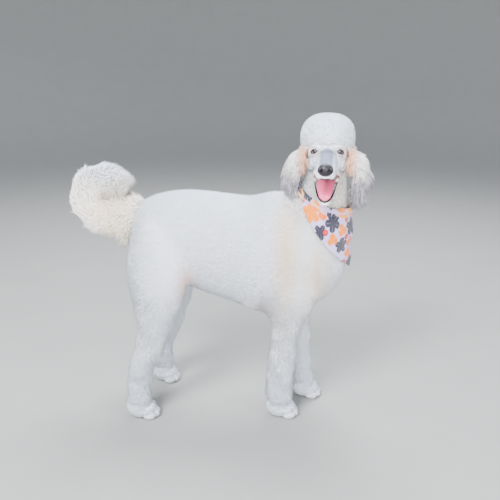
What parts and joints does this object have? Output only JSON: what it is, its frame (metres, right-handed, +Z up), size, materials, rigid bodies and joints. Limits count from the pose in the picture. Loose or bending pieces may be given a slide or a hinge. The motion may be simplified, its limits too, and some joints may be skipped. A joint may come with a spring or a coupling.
{
  "type": "standing curly-coated dog",
  "caption": "Life-size still model of a white standard poodle standing square, head turned to its right with the mouth open, tail curled up, wearing a printed triangular neckerchief.",
  "frame": {"origin": "on the floor under the middle of the model's box", "axes": "+X towards the chest, +Y to the dog's left, +Z up from the floor"},
  "size_m": [0.8506, 0.3246, 0.8544],
  "materials": {
    "coat": "white curly coat",
    "ear_coat": "cream and grey wavy coat",
    "face": "skin with very short white hair",
    "paw": "skin with very short white hair and dark claws",
    "nose": "moist dark leather",
    "tongue": "moist",
    "eye": "wet and glossy",
    "cotton": "printed cotton"
  },
  "bodies": {
    "root": {"torso": "coat", "neck": "coat", "head": "face", "lower_jaw": "face", "tongue": "tongue", "nose": "nose", "topknot": "coat", "ear_r": "ear_coat", "ear_l": "ear_coat", "eye_r": "eye", "eye_l": "eye", "tail": "coat", "foreleg_r": "coat", "foreleg_l": "coat", "hindleg_r": "coat", "hindleg_l": "coat", "forepaw_r": "paw", "forepaw_l": "paw", "hindpaw_r": "paw", "hindpaw_l": "paw", "bandana": "cotton"}
  },
  "joints": []
}
